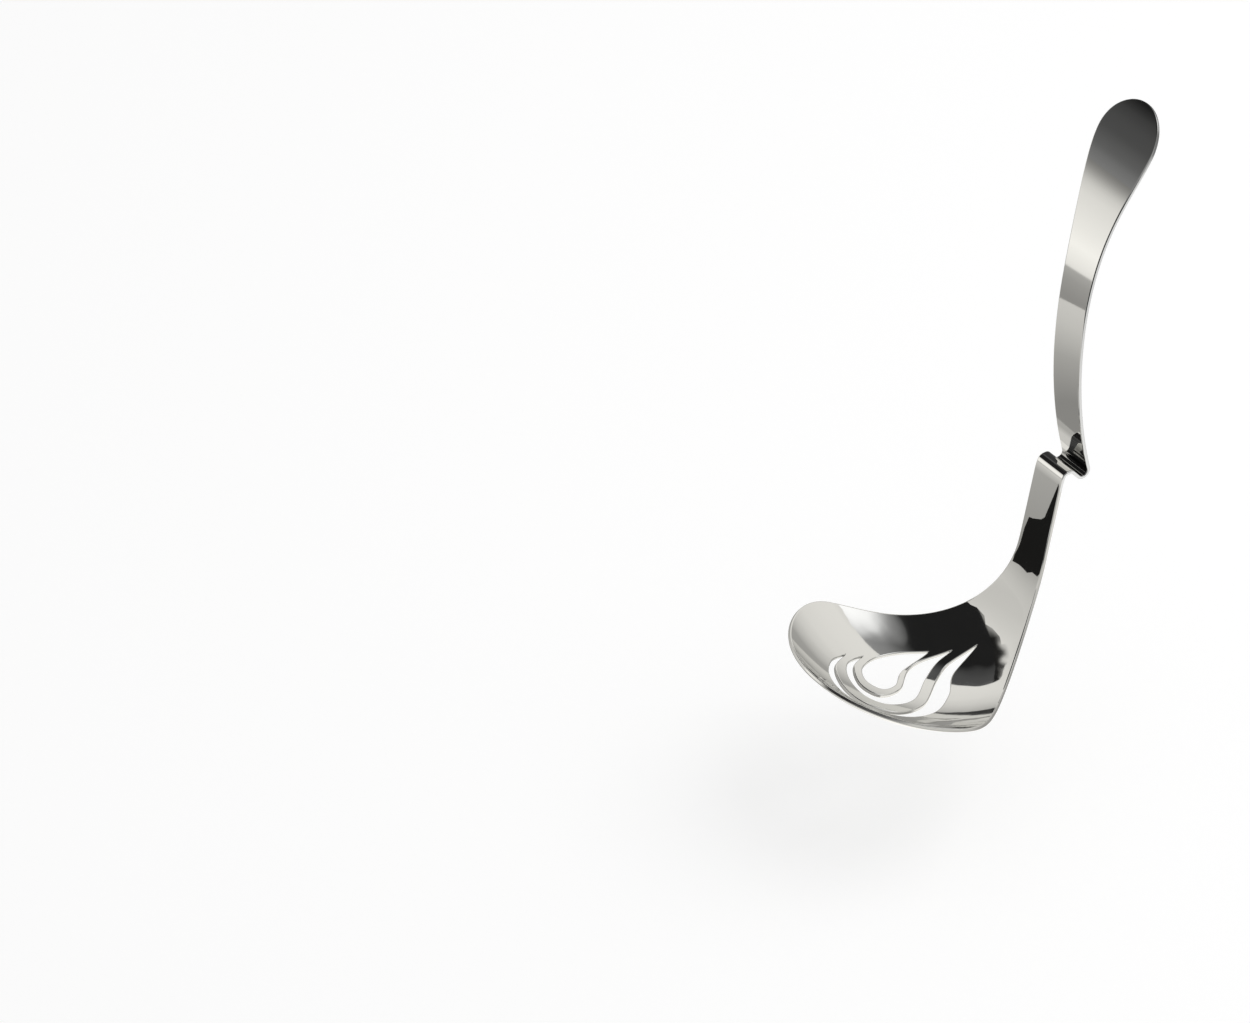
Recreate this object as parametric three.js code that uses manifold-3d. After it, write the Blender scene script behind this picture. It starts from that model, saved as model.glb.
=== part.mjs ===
// Slotted ladle that hangs on a bowl by a hook bent into its handle.
// A polished steel handle strip and a pressed scoop are joined by a weld ground flush at the neck.
// Millimetres and degrees. The origin is on the seat under the hook's ridge, where the bowl's rim touches.
// +Z is up, +Y points out of the bowl, and X runs along the rim.
import * as THREE from 'three';
import { LoftGeometry } from 'three/addons/geometries/LoftGeometry.js';
import { mergeVertices } from 'three/addons/utils/BufferGeometryUtils.js';
import Module from 'manifold-3d';

// Sheet and strip
const SHEET = 1.4;
const STRIP_WIDTH = 14;

// Paddle end and grip, along the sheet
const PADDLE_WIDTH = 27;
const PADDLE_ROUND = 14.9;
const PADDLE_LENGTH = 23;
const PADDLE_RADIUS = 81;
const GRIP_LENGTH = 120;
const GRIP_RADIUS = 170;
const TAPER_LENGTH = 108;
const TAPER_CURVE = 2.9;

// Hook over the rim; radii are those of the sheet's middle line
const GRIP_LEAN = 14.3;
const FOOT_RADIUS = 2.35;
const RISER_LENGTH = 4;
const RISER_SLOPE = 50;
const RIDGE_RADIUS = 1.6;
const SEAT_FLAT = 1.2;

// Stem and weld; a slow shoulder eases the ridge into the stem
const STEM_SLOPE = 78;
const CREST_RADIUS = 7.3;
const CREST_TURN = 14;
const SHOULDER_RADIUS = 17.6;
const SHOULDER_TURN = 6.5;
const STEM_LENGTH = 28.66;
const WELD_WIDTH = 1.6;
const WELD_ABOVE_FLARE = 2.5;

// Scoop
const NECK_RADIUS = 47;
const NECK_TURN = 72;
const BELLY_RADIUS = 56;
const BELLY_LENGTH = 58.3;
const SCOOP_WIDTH = 87.2;
const SCOOP_ROUND = 35.8;
const FLARE_LENGTH = 88;
const FLARE_CURVE = 1.38;
const CAMBER_RADIUS = 75;
const CAMBER_BLEND = 28.6;

// Drain slots on the flat sheet, drawn in steps of the grid: across the sheet, and from the scoop's widest
// line towards its tip. A slot's smooth edges meet in its points.
const DRAIN_GRID = 1;
const DRAIN_SLOTS = [
  [
    [[-10.9, -28.2], [-16.2, -20], [-18.3, -10.5], [-15.8, -2.4], [-9.8, 0.7], [-4.1, -2], [-4.3, -8.2],
      [-9.3, -15], [-10.9, -28.2]],
  ],
  [
    [[-20.5, -6], [-17, 1], [-8, 4.8], [-0.8, 1.5], [-1.4, -8], [-8, -16.5], [-9.2, -24], [-5.6, -34.4]],
    [[-5.6, -34.4], [-5.3, -27], [-1.5, -19], [6, -8], [5.5, 3], [-1, 8.3], [-12, 7.2],
      [-19, 2], [-20.5, -6]],
  ],
  [
    [[-22.7, 0.7], [-17.5, 9.6], [-6, 14.5], [5, 13.4], [12, 5], [10.8, -8.5], [2, -21.2],
      [-1.9, -30], [0, -41.7]],
    [[0, -41.7], [3, -27.8], [11, -19.6], [17.5, -8], [16.8, 5], [9, 15.6], [-2, 19.3], [-13, 16.3],
      [-20.5, 8.8], [-22.7, 0.7]],
  ],
];

// Fineness of the faceted surfaces
const LONGEST_STEP = 4;
const STEP_TURN = 9;
const ROUND_STEPS = 11;
const COLUMNS = 16;
const EDGE_STEPS = 4;
const PUNCH_REACH = 2 * SHEET;

const STEEL = { color: 0xc8cacb, metalness: 1, roughness: 0.12 };

const { degToRad, smoothstep } = THREE.MathUtils;

// A straight or round stretch of the sheet's middle line; a positive turn is anticlockwise seen from +X.
const straight = (length) => ({ length, turn: 0 });
const bow = (radius, length) => ({ length, turn: length / radius });
const bend = (radius, degrees) => bow(radius * Math.sign(degrees), radius * degToRad(Math.abs(degrees)));

// The middle line runs from the paddle's end over the hook to the scoop's tip.
const ABOVE_SEAT = [
  bow(PADDLE_RADIUS, PADDLE_LENGTH),
  bow(GRIP_RADIUS, GRIP_LENGTH),
  bend(FOOT_RADIUS, -(RISER_SLOPE + 90 + GRIP_LEAN)),
  straight(RISER_LENGTH),
  bend(RIDGE_RADIUS, RISER_SLOPE),
  straight(SEAT_FLAT / 2),
];
const BELOW_SEAT = [
  straight(SEAT_FLAT / 2),
  bend(RIDGE_RADIUS, STEM_SLOPE - CREST_TURN - SHOULDER_TURN),
  bend(CREST_RADIUS, CREST_TURN),
  bend(SHOULDER_RADIUS, SHOULDER_TURN),
  straight(STEM_LENGTH),
  bend(NECK_RADIUS, -NECK_TURN),
  bow(-BELLY_RADIUS, BELLY_LENGTH),
];

// Puts the stretches end to end, level over the seat and with the seat's underside at the origin.
function layOut(above, below) {
  const turned = above.reduce((sum, stretch) => sum + stretch.turn, 0);
  const stretches = [];
  let start = 0;
  let y = 0;
  let z = 0;
  let heading = Math.PI - turned;
  let seat = null;
  for (const { length, turn } of [...above, ...below]) {
    if (stretches.length === above.length) seat = { y, z, start };
    const stretch = { start, length, y, z, heading, curvature: turn / length };
    stretches.push(stretch);
    ({ y, z, heading } = along(stretch, length));
    start += length;
  }
  for (const stretch of stretches) {
    stretch.y -= seat.y;
    stretch.z += SHEET / 2 - seat.z;
  }
  return { stretches, seat: seat.start, length: start };
}

// The place and direction at a distance along one stretch.
function along({ y, z, heading, curvature }, distance) {
  if (curvature === 0) {
    return { y: y + distance * Math.cos(heading), z: z + distance * Math.sin(heading), heading };
  }
  const turned = heading + curvature * distance;
  return {
    y: y + (Math.sin(turned) - Math.sin(heading)) / curvature,
    z: z - (Math.cos(turned) - Math.cos(heading)) / curvature,
    heading: turned,
  };
}

const LINE = layOut(ABOVE_SEAT, BELOW_SEAT);
const TIP = LINE.length;
const SCOOP_WIDEST = TIP - SCOOP_ROUND;
const FLARE_START = SCOOP_WIDEST - FLARE_LENGTH;
const WELD_END = FLARE_START - WELD_ABOVE_FLARE;
const WELD_START = WELD_END - WELD_WIDTH;

function middle(s) {
  const stretch = LINE.stretches.findLast((piece) => piece.start <= s) ?? LINE.stretches[0];
  return along(stretch, s - stretch.start);
}

// Half the sheet's width at a distance along the middle line.
function halfWidth(s) {
  if (s < PADDLE_ROUND) return PADDLE_WIDTH / 2 * Math.sqrt(1 - (1 - s / PADDLE_ROUND) ** 2);
  if (s > SCOOP_WIDEST) return SCOOP_WIDTH / 2 * Math.sqrt(1 - ((s - SCOOP_WIDEST) / SCOOP_ROUND) ** 2);
  const towardsPaddle = THREE.MathUtils.clamp(1 - (s - PADDLE_ROUND) / TAPER_LENGTH, 0, 1);
  const towardsScoop = THREE.MathUtils.clamp((s - FLARE_START) / FLARE_LENGTH, 0, 1);
  const paddle = (PADDLE_WIDTH - STRIP_WIDTH) / 2 * smoothstep(towardsPaddle ** TAPER_CURVE, 0, 1);
  const scoop = (SCOOP_WIDTH - STRIP_WIDTH) / 2 * smoothstep(towardsScoop ** FLARE_CURVE, 0, 1);
  return STRIP_WIDTH / 2 + paddle + scoop;
}

// A point of the bent sheet: s along the middle line, x across, and off the middle towards the upper face.
function onSheet(s, x, off) {
  const { y, z, heading } = middle(s);
  const slope = x * smoothstep(s, FLARE_START, FLARE_START + CAMBER_BLEND) / CAMBER_RADIUS;
  const lean = off / Math.hypot(1, slope);
  const rise = x * slope / 2 + lean;
  return new THREE.Vector3(x - slope * lean, y + rise * Math.sin(heading), z - rise * Math.cos(heading));
}

// Distances along a round end at even angles, from its widest line to half a step short of its point.
function roundEnd(length) {
  const stepAngle = Math.PI / 2 / ROUND_STEPS;
  return Array.from({ length: ROUND_STEPS }, (_, i) => length * (1 - Math.cos((i + 0.5) * stepAngle)));
}

// Rows where the sheet is bent or widened, between two distances along the middle line.
function rowsBetween(from, to) {
  const scoopRows = roundEnd(SCOOP_ROUND).map((distance) => TIP - distance);
  const rows = [from, to, FLARE_START, ...roundEnd(PADDLE_ROUND), ...scoopRows];
  for (const { start, length, curvature } of LINE.stretches) {
    const turn = THREE.MathUtils.radToDeg(Math.abs(curvature) * length);
    const count = Math.ceil(Math.max(length / LONGEST_STEP, turn / STEP_TURN));
    for (let i = 0; i < count; i += 1) rows.push(start + length * i / count);
  }
  const inside = rows.filter((s) => s >= from && s <= to).sort((a, b) => a - b);
  const tooClose = (s, i) => i > 0 && s - inside[i - 1] < SHEET / 20;
  return inside.filter((s, i) => !tooClose(s, i));
}

// A stretch of sheet as a solid: each row is a ring over the upper face and back along the lower one.
function sheetBetween(from, to, columns) {
  const rings = rowsBetween(from, to).map((s) => {
    const across = Array.from({ length: columns + 1 }, (_, i) => halfWidth(s) * (1 - 2 * i / columns));
    const upper = across.map((x) => onSheet(s, x, SHEET / 2));
    const lower = across.reverse().map((x) => onSheet(s, x, -SHEET / 2));
    return [...upper, ...lower];
  });
  return new LoftGeometry(rings, { capStart: true, capEnd: true });
}

// A punch for one drain slot, square to the sheet all round its outline.
function slotPunch(edges) {
  const outline = edges.flatMap((edge) => {
    const marks = edge.map(([x, y]) => new THREE.Vector2(x, y).multiplyScalar(DRAIN_GRID));
    const curve = new THREE.SplineCurve(marks);
    return curve.getPoints(EDGE_STEPS * (marks.length - 1)).slice(0, -1);
  });
  // distances run away from the stem, so an outline that is clockwise here is not so seen from above
  if (!THREE.ShapeUtils.isClockWise(outline)) outline.reverse();
  const ring = (off) => outline.map(({ x, y }) => onSheet(SCOOP_WIDEST + y, x, off));
  return new LoftGeometry([ring(-PUNCH_REACH), ring(PUNCH_REACH)], { capStart: true, capEnd: true });
}

const wasm = await Module();
wasm.setup();

function toSolid(geometry) {
  const bare = new THREE.BufferGeometry();
  bare.setAttribute('position', geometry.getAttribute('position'));
  bare.setIndex(geometry.index);
  const merged = mergeVertices(bare);
  const vertProperties = Float32Array.from(merged.getAttribute('position').array);
  const triVerts = Uint32Array.from(merged.index.array);
  return new wasm.Manifold(new wasm.Mesh({ numProp: 3, vertProperties, triVerts }));
}

function toGeometry(solid) {
  const { vertProperties, triVerts } = solid.getMesh();
  const geometry = new THREE.BufferGeometry();
  geometry.setAttribute('position', new THREE.BufferAttribute(vertProperties, 3));
  geometry.setIndex(new THREE.BufferAttribute(triVerts, 1));
  geometry.computeVertexNormals();
  return geometry;
}

function piece(name, geometry) {
  const mesh = new THREE.Mesh(geometry, new THREE.MeshStandardMaterial(STEEL));
  mesh.name = name;
  return mesh;
}

const paddleEnd = Math.min(...roundEnd(PADDLE_ROUND));
const scoopEnd = TIP - Math.min(...roundEnd(SCOOP_ROUND));
const plainScoop = toSolid(sheetBetween(WELD_END, scoopEnd, COLUMNS));
const punches = DRAIN_SLOTS.map((edges) => toSolid(slotPunch(edges)));
const slottedScoop = punches.reduce((scoop, punch) => scoop.subtract(punch), plainScoop);

const ladle = new THREE.Group();
ladle.add(piece('handle', sheetBetween(paddleEnd, WELD_START, 1)));
ladle.add(piece('neck_weld', sheetBetween(WELD_START, WELD_END, 1)));
ladle.add(piece('slotted_scoop', toGeometry(slottedScoop)));

export default ladle;
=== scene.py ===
"""Slotted ladle of polished steel, hung by a hook that is bent into its own handle.

The ladle is one thickness of bent sheet in three pieces: a paddle-ended handle strip with the hook, a weld
ground flush across the stem, and a pressed scoop with three nested drain slots. Each piece is made as in a
press shop: the flat blank is cut, the slots are punched, the rims are eased, and the blank is pressed.

Blanks are drawn in millimetres, across the sheet (x) and along it from the paddle's end (s). Pressing puts
them in the scene's metres, with the origin on the seat under the hook's ridge and +Y away from the scoop.
"""

import logging
import math
from collections.abc import Callable, Iterator, Sequence
from contextlib import contextmanager
from dataclasses import dataclass, field, replace
from enum import Enum
from typing import Any

import bpy
import numpy as np
from mathutils import Matrix, Vector
from mathutils.kdtree import KDTree


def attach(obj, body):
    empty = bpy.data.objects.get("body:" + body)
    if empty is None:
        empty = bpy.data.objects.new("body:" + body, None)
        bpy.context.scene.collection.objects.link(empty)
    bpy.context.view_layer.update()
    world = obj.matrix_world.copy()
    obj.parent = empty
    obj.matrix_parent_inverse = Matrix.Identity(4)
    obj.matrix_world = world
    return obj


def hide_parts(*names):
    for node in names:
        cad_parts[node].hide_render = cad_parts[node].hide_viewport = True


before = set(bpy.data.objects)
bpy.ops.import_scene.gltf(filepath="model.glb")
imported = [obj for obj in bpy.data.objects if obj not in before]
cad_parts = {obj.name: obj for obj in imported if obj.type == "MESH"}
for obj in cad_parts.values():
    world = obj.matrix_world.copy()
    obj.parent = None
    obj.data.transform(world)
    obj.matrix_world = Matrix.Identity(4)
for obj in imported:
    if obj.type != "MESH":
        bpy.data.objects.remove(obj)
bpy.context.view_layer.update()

LOG = logging.getLogger("ladle")
MM = 0.001
WHITE = (1.0, 1.0, 1.0, 1.0)
# most of a noise texture's values lie between the first and the last of these
NOISE_LOW, NOISE_MIDDLE, NOISE_HIGH = 0.3, 0.5, 0.7
# where a colour ramp's new stops wait for their places
RAMP_MIDDLE = 0.5


def linear(code: str) -> tuple[float, float, float, float]:
    """Turn an sRGB hex colour into linear light.

    Args:
        code: the colour as "#rrggbb".

    Returns:
        Linear red, green, blue and an alpha of 1.
    """
    parts = [int(code[i : i + 2], 16) / 255 for i in (1, 3, 5)]
    values = [c / 12.92 if c <= 0.04045 else ((c + 0.055) / 1.055) ** 2.4 for c in parts]
    return (values[0], values[1], values[2], 1.0)


def clear_tree(owner: bpy.types.Material | bpy.types.World) -> bpy.types.NodeTree:
    """Switch on an owner's nodes and empty them.

    Args:
        owner: a new material or world.

    Returns:
        Its empty node tree.
    """
    owner.use_nodes = True
    owner.node_tree.nodes.clear()
    return owner.node_tree


def add_node(
    tree: bpy.types.NodeTree,
    kind: str,
    sockets: dict[Any, Any] | None = None,
    stops: Sequence[tuple[float, float]] = (),
    **settings: Any,
) -> bpy.types.Node:
    """Add a node, set its properties, and set or link its inputs.

    Args:
        tree: the node tree to add to.
        kind: the node's type name.
        sockets: values, output sockets or nodes for the inputs, by input name or number; a node stands for
            its first output.
        stops: for a colour ramp, pairs of place and linear grey level in rising order of place.
        settings: the node's own properties.

    Returns:
        The new node.
    """
    node = tree.nodes.new(kind)
    for name, value in settings.items():
        setattr(node, name, value)
    for key, value in (sockets or {}).items():
        if isinstance(value, bpy.types.Node):
            value = value.outputs[0]
        if isinstance(value, bpy.types.NodeSocket):
            tree.links.new(value, node.inputs[key])
        else:
            node.inputs[key].default_value = value
    if stops:
        elements = node.color_ramp.elements
        while len(elements) < len(stops):
            elements.new(RAMP_MIDDLE)
        for element, (place, level) in zip(elements, stops):
            element.position = place
            element.color = (level, level, level, 1.0)
    return node


@contextmanager
def edit_mode() -> Iterator[None]:
    """Hold the active object in edit mode.

    Yields:
        Nothing; edit mode ends with the block.
    """
    bpy.ops.object.mode_set(mode="EDIT")
    yield
    bpy.ops.object.mode_set(mode="OBJECT")


def add_primitive(operator: Callable[..., set[str]], name: str, **sizes: Any) -> bpy.types.Object:
    """Add a primitive with nothing else selected, and name it.

    Args:
        operator: the primitive's operator.
        name: the new object's name.
        sizes: the operator's settings.

    Returns:
        The new mesh object.
    """
    bpy.ops.object.select_all(action="DESELECT")
    operator(**sizes)
    obj = bpy.context.object
    obj.name = obj.data.name = name
    return obj


def read(items: Any, name: str, width: int = 1, kind: type = np.int32) -> np.ndarray:
    """Read one property of all a mesh's vertices, edges, corners or faces.

    Args:
        items: the mesh's list of them.
        name: the property's name.
        width: how many values each has.
        kind: the values' type.

    Returns:
        One row for each item, or one value for each where width is 1.
    """
    found = np.zeros(len(items) * width, kind)
    items.foreach_get(name, found)
    return found.reshape(-1, width) if width > 1 else found


def smoothstep(value: np.ndarray, low: float, high: float) -> np.ndarray:
    """Ease from 0 at low to 1 at high.

    Args:
        value: the places to read.
        low: where the rise starts.
        high: where the rise ends.

    Returns:
        The eased values.
    """
    t = np.clip((np.asarray(value, float) - low) / (high - low), 0, 1)
    return t * t * (3 - 2 * t)


class Seen(Enum):
    """Which rays a surface of the stage shows to."""

    EVERYWHERE = "everywhere"
    IN_METAL = "in reflections only"


class Axis(Enum):
    """The way along a card in which its grey changes."""

    ACROSS = "X"
    DEEP = "Y"


class SkyBlend(Enum):
    """How a patch of the sky joins those before it."""

    SHADES = "MULTIPLY"
    SHINES = "LIGHTEN"


@dataclass(frozen=True)
class SteelFinish:
    """Stainless steel in one state of polish.

    Attributes:
        name: the material's name.
        colour: sRGB hex of the bare metal.
        roughness: the finish's middle roughness.
        smear: how far the roughness strays in smears of the polishing mop.
        smear_mm: size of those smears.
        wave_mm: spacing of the slow waves that pressing and polishing leave.
        wave_depth_mm: height of those waves.
        line_mm: spacing of the polishing lines along the sheet.
        line_depth_mm: height of the polishing lines.
        foot_bend_shade: how much of its brightness the metal keeps inside the tight foot bend, where its
            colour is darkened as painted shade.
    """

    name: str
    colour: str
    roughness: float
    smear: float
    smear_mm: float
    wave_mm: float
    wave_depth_mm: float
    line_mm: float
    line_depth_mm: float
    foot_bend_shade: float = 1.0

    LINE_STRETCH = 60.0
    FOOT_AXIS_MM = (0.0, 6.2, -1.4)
    FOOT_INNER_MM, FOOT_OUTER_MM = 1.9, 2.5

    def material(self) -> bpy.types.Material:
        """Build the finish as a procedural material.

        Returns:
            The material, made once and then shared.
        """
        made = bpy.data.materials.get(self.name)
        if made:
            return made
        made = bpy.data.materials.new(self.name)
        tree = clear_tree(made)
        place = add_node(tree, "ShaderNodeTexCoord")
        flat = add_node(tree, "ShaderNodeUVMap", uv_map=LadlePiece.FLAT_MAP)
        # slow waves: a pressed sheet is never a true mirror, so what it shows wanders a little
        waves = add_node(tree, "ShaderNodeTexNoise", {
            "Vector": place.outputs["Object"], "Scale": 1 / (self.wave_mm * MM), "Detail": 1.0,
            "Roughness": 0.4})
        # lines of the polishing mop along the sheet, drawn coarser than the real 0.05 mm so that they show
        along = add_node(tree, "ShaderNodeMapping", {
            "Vector": flat,
            "Scale": (1 / (self.line_mm * MM), 1 / (self.line_mm * self.LINE_STRETCH * MM), 1.0)})
        lines = add_node(tree, "ShaderNodeTexNoise", {
            "Vector": along, "Scale": 1.0, "Detail": 2.0, "Roughness": 0.6})
        wave_bump = add_node(tree, "ShaderNodeBump", {
            "Strength": 1.0, "Distance": self.wave_depth_mm * MM, "Height": waves})
        line_bump = add_node(tree, "ShaderNodeBump", {
            "Strength": 1.0, "Distance": self.line_depth_mm * MM, "Height": lines, "Normal": wave_bump})
        # smears: the last wipe leaves patches that are a little less sharp
        smears = add_node(tree, "ShaderNodeTexNoise", {
            "Vector": place.outputs["Object"], "Scale": 1 / (self.smear_mm * MM), "Detail": 3.0})
        rough = add_node(tree, "ShaderNodeMapRange", {
            "Value": smears, "From Min": NOISE_LOW, "From Max": NOISE_HIGH,
            "To Min": self.roughness - self.smear, "To Max": self.roughness + self.smear})
        # painted shade: the metal's colour is darkened inside the tight foot bend, where shade falls in the
        # crease
        across = add_node(tree, "ShaderNodeVectorMath", {
            0: place.outputs["Object"], 1: (0.0, 1.0, 1.0)}, operation="MULTIPLY")
        inside = add_node(tree, "ShaderNodeVectorMath", {
            0: across, 1: tuple(size * MM for size in self.FOOT_AXIS_MM)}, operation="DISTANCE")
        painted_bend_shade = add_node(tree, "ShaderNodeMapRange", {
            "Value": inside.outputs["Value"], "From Min": self.FOOT_INNER_MM * MM,
            "From Max": self.FOOT_OUTER_MM * MM, "To Min": self.foot_bend_shade})
        tone = add_node(tree, "ShaderNodeMix", {
            "Factor": 1.0, "A": linear(self.colour), "B": painted_bend_shade}, data_type="RGBA", blend_type="MULTIPLY")
        steel = add_node(tree, "ShaderNodeBsdfPrincipled", {
            "Base Color": tone.outputs[2], "Metallic": 1.0, "Roughness": rough, "Normal": line_bump})
        add_node(tree, "ShaderNodeOutputMaterial", {"Surface": steel})
        return made


# polished with a mop and compound: a cold mirror with crisp edges to what it shows
MIRROR_STEEL = SteelFinish(
    name="mirror_polished_stainless_steel", colour="#e1e1df", roughness=0.045, smear=0.012, smear_mm=9.0,
    wave_mm=11.0, wave_depth_mm=0.006, line_mm=0.5, line_depth_mm=0.0002, foot_bend_shade=0.6)
# the pressed scoop has the same polish over deeper waves, so the edges of what it shows are ragged
PRESSED_STEEL = replace(
    MIRROR_STEEL, name="mirror_polished_pressed_stainless_steel", wave_mm=8.0, wave_depth_mm=0.050)
# the cut edge: blanked, tumbled and buffed, so it is bright but softer than the faces
EDGE_STEEL = SteelFinish(
    name="buffed_cut_edge_stainless_steel", colour="#e1e1df", roughness=0.14, smear=0.03, smear_mm=5.0,
    wave_mm=4.0, wave_depth_mm=0.003, line_mm=0.4, line_depth_mm=0.0006)


@dataclass(frozen=True)
class Stretch:
    """A straight or round stretch of the sheet's middle line.

    Attributes:
        start: distance of its start from the paddle's end.
        length: its length.
        y: place of its start, away from the scoop.
        z: height of its start.
        heading: direction at its start, in radians.
        curvature: turn for each millimetre, in radians.
    """

    start: float
    length: float
    y: float
    z: float
    heading: float
    curvature: float


@dataclass
class SheetForm:
    """The bent sheet that every piece is pressed to. Sizes are in millimetres and degrees."""

    sheet: float = 1.4
    strip_width: float = 14.0
    paddle_width: float = 27.0
    paddle_round: float = 14.9
    paddle_length: float = 23.0
    paddle_radius: float = 81.0
    grip_length: float = 120.0
    grip_radius: float = 170.0
    taper_length: float = 108.0
    taper_curve: float = 2.9
    grip_lean: float = 14.3
    foot_radius: float = 2.35
    riser_length: float = 4.0
    riser_slope: float = 50.0
    ridge_radius: float = 1.6
    seat_flat: float = 1.2
    stem_slope: float = 78.0
    crest_radius: float = 7.3
    crest_turn: float = 14.0
    shoulder_radius: float = 17.6
    shoulder_turn: float = 6.5
    stem_length: float = 28.66
    weld_width: float = 1.6
    weld_above_flare: float = 2.5
    neck_radius: float = 47.0
    neck_turn: float = 72.0
    belly_radius: float = 56.0
    belly_length: float = 58.3
    scoop_width: float = 87.2
    scoop_round: float = 35.8
    flare_length: float = 88.0
    flare_curve: float = 1.38
    camber_radius: float = 75.0
    camber_blend: float = 28.6
    stretches: list[Stretch] = field(default_factory=list)

    def __post_init__(self) -> None:
        """Lay the stretches end to end, level over the seat."""

        def bend(radius: float, degrees: float) -> tuple[float, float]:
            """Length and turn of a round stretch of that radius and angle."""
            return radius * math.radians(abs(degrees)), math.radians(degrees)

        above = [
            (self.paddle_length, self.paddle_length / self.paddle_radius),
            (self.grip_length, self.grip_length / self.grip_radius),
            bend(self.foot_radius, -(self.riser_slope + 90 + self.grip_lean)),
            (self.riser_length, 0.0),
            bend(self.ridge_radius, self.riser_slope),
            (self.seat_flat / 2, 0.0),
        ]
        below = [
            (self.seat_flat / 2, 0.0),
            bend(self.ridge_radius, self.stem_slope - self.crest_turn - self.shoulder_turn),
            bend(self.crest_radius, self.crest_turn),
            bend(self.shoulder_radius, self.shoulder_turn),
            (self.stem_length, 0.0),
            bend(self.neck_radius, -self.neck_turn),
            (self.belly_length, -self.belly_length / self.belly_radius),
        ]
        self.stretches = []
        start, y, z = 0.0, 0.0, 0.0
        heading = math.pi - sum(turn for _, turn in above)
        for length, turn in above + below:
            self.stretches.append(Stretch(start, length, y, z, heading, turn / length))
            start += length
            y, z, heading = (float(v[0]) for v in self.middle(np.array([start])))
        seat = self.stretches[len(above)]
        self.stretches = [
            Stretch(p.start, p.length, p.y - seat.y, p.z - seat.z + self.sheet / 2, p.heading, p.curvature)
            for p in self.stretches
        ]

    @property
    def tip(self) -> float:
        """Distance of the scoop's tip from the paddle's end."""
        return self.stretches[-1].start + self.stretches[-1].length

    @property
    def widest(self) -> float:
        """Distance of the scoop's widest line."""
        return self.tip - self.scoop_round

    @property
    def flare_start(self) -> float:
        """Distance at which the stem starts to widen."""
        return self.widest - self.flare_length

    @property
    def weld_end(self) -> float:
        """Distance of the weld's edge on the scoop's side."""
        return self.flare_start - self.weld_above_flare

    @property
    def weld_start(self) -> float:
        """Distance of the weld's edge on the handle's side."""
        return self.weld_end - self.weld_width

    def middle(self, s: np.ndarray) -> tuple[np.ndarray, np.ndarray, np.ndarray]:
        """Find the middle line's place and direction.

        Args:
            s: distances from the paddle's end.

        Returns:
            The places y and z, and the headings.
        """
        starts = np.array([p.start for p in self.stretches])
        index = np.clip(np.searchsorted(starts, s, side="right") - 1, 0, len(starts) - 1)
        y0, z0, h0, k = np.array([(p.y, p.z, p.heading, p.curvature) for p in self.stretches])[index].T
        d = s - starts[index]
        h1 = h0 + k * d
        round_k = np.where(k == 0, 1.0, k)
        y = y0 + np.where(k == 0, d * np.cos(h0), (np.sin(h1) - np.sin(h0)) / round_k)
        z = z0 + np.where(k == 0, d * np.sin(h0), -(np.cos(h1) - np.cos(h0)) / round_k)
        return y, z, h1

    def half_width(self, s: np.ndarray) -> np.ndarray:
        """Find half the sheet's width.

        Args:
            s: distances from the paddle's end.

        Returns:
            The half widths.
        """
        paddle_end = np.clip(1 - s / self.paddle_round, 0, 1)
        scoop_end = np.clip((s - self.widest) / self.scoop_round, 0, 1)
        to_paddle = np.clip(1 - (s - self.paddle_round) / self.taper_length, 0, 1)
        to_scoop = np.clip((s - self.flare_start) / self.flare_length, 0, 1)
        paddle = (self.paddle_width - self.strip_width) / 2 * smoothstep(to_paddle**self.taper_curve, 0, 1)
        scoop = (self.scoop_width - self.strip_width) / 2 * smoothstep(to_scoop**self.flare_curve, 0, 1)
        ends = np.sqrt(1 - paddle_end**2) * np.sqrt(1 - scoop_end**2)
        return (self.strip_width / 2 + paddle + scoop) * ends

    def press(self, flat: np.ndarray) -> np.ndarray:
        """Press places of the flat sheet into the bent one.

        Args:
            flat: rows of x across, s along, and height over the sheet's middle.

        Returns:
            The pressed places, in millimetres.
        """
        x, s, off = flat.T
        y, z, heading = self.middle(s)
        camber = smoothstep(s, self.flare_start, self.flare_start + self.camber_blend) / self.camber_radius
        slope = x * camber
        lean = off / np.hypot(1, slope)
        rise = x * slope / 2 + lean
        return np.column_stack([x - slope * lean, y + rise * np.sin(heading), z - rise * np.cos(heading)])

    def press_normals(self, flat: np.ndarray, normals: np.ndarray) -> np.ndarray:
        """Turn the flat sheet's normals with the pressing, so that the polished faces show no facets.

        Args:
            flat: places on the flat sheet.
            normals: the normals there.

        Returns:
            The normals of the pressed sheet.
        """
        step = 1e-3
        sides = []
        for axis in range(3):
            shift = np.zeros(3)
            shift[axis] = step
            sides.append((self.press(flat + shift) - self.press(flat - shift)) / (2 * step))
        across, along, through = sides
        turned = (
            normals[:, :1] * np.cross(along, through)
            + normals[:, 1:2] * np.cross(through, across)
            + normals[:, 2:] * np.cross(across, along)
        )
        turned *= np.sign(np.sum(np.cross(across, along) * through, axis=1))[:, None]
        return turned / np.linalg.norm(turned, axis=1)[:, None]

    def mirrored(self, patch: tuple, eye: np.ndarray, reach: float) -> np.ndarray:
        """Follow lines of sight off the polished inner face.

        Args:
            patch: places on the sheet, across it and along it.
            eye: where they are seen from.
            reach: how far each line is followed.

        Returns:
            The places reached, in millimetres.
        """
        flat = np.array([(x, s, self.sheet / 2) for x, s in patch])
        face = self.press(flat)
        normals = self.press_normals(flat, np.tile((0.0, 0.0, 1.0), (len(flat), 1)))
        sight = eye - face
        sight /= np.linalg.norm(sight, axis=1)[:, None]
        return face + reach * (2 * np.sum(normals * sight, axis=1)[:, None] * normals - sight)

    def outline(self, step: float) -> np.ndarray:
        """Draw the whole ladle's flat outline.

        Args:
            step: about how far apart its points are.

        Returns:
            Places x and s round the outline, anticlockwise.
        """

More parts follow.
